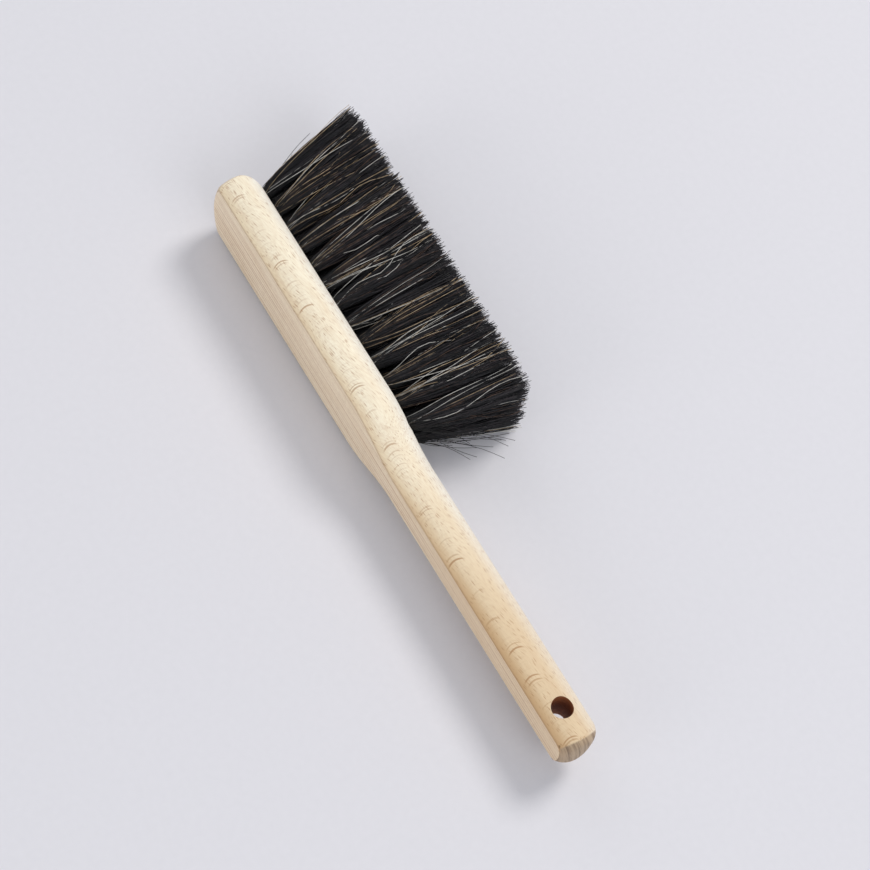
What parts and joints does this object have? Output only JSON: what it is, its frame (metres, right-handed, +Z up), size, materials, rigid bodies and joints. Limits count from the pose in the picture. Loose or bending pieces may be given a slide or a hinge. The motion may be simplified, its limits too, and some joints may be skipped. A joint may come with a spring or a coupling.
{
  "type": "clothes brush",
  "caption": "Hand brush lying on its side: one-piece beech head and handle with a flat back and a hanging hole, and rows of horsehair tufts in blind holes.",
  "frame": {"origin": "under the middle of the whole brush's box, on the surface that the brush lies on", "axes": "+X from the toe to the handle end, +Y the way the bristles point, +Z up across the brush's width"},
  "size_m": [0.3069, 0.073, 0.043],
  "materials": {
    "beech": "sanded, unfinished pale beech",
    "horsehair": "black horsehair with a few white, grey and brown hairs"
  },
  "bodies": {
    "root": {"beech_body": "beech", "tuft_row1_01": "horsehair", "tuft_row1_02": "horsehair", "tuft_row1_03": "horsehair", "tuft_row1_04": "horsehair", "tuft_row1_05": "horsehair", "tuft_row1_06": "horsehair", "tuft_row1_07": "horsehair", "tuft_row1_08": "horsehair", "tuft_row1_09": "horsehair", "tuft_row1_10": "horsehair", "tuft_row1_11": "horsehair", "tuft_row1_12": "horsehair", "tuft_row1_13": "horsehair", "tuft_row2_01": "horsehair", "tuft_row2_02": "horsehair", "tuft_row2_03": "horsehair", "tuft_row2_04": "horsehair", "tuft_row2_05": "horsehair", "tuft_row2_06": "horsehair", "tuft_row2_07": "horsehair", "tuft_row2_08": "horsehair", "tuft_row2_09": "horsehair", "tuft_row2_10": "horsehair", "tuft_row2_11": "horsehair", "tuft_row2_12": "horsehair", "tuft_row3_01": "horsehair", "tuft_row3_02": "horsehair", "tuft_row3_03": "horsehair", "tuft_row3_04": "horsehair", "tuft_row3_05": "horsehair", "tuft_row3_06": "horsehair", "tuft_row3_07": "horsehair", "tuft_row3_08": "horsehair", "tuft_row3_09": "horsehair", "tuft_row3_10": "horsehair", "tuft_row3_11": "horsehair", "tuft_row3_12": "horsehair", "tuft_row3_13": "horsehair", "tuft_row4_01": "horsehair", "tuft_row4_02": "horsehair", "tuft_row4_03": "horsehair", "tuft_row4_04": "horsehair", "tuft_row4_05": "horsehair", "tuft_row4_06": "horsehair", "tuft_row4_07": "horsehair", "tuft_row4_08": "horsehair", "tuft_row4_09": "horsehair", "tuft_row4_10": "horsehair", "tuft_row4_11": "horsehair", "tuft_row4_12": "horsehair"}
  },
  "joints": []
}
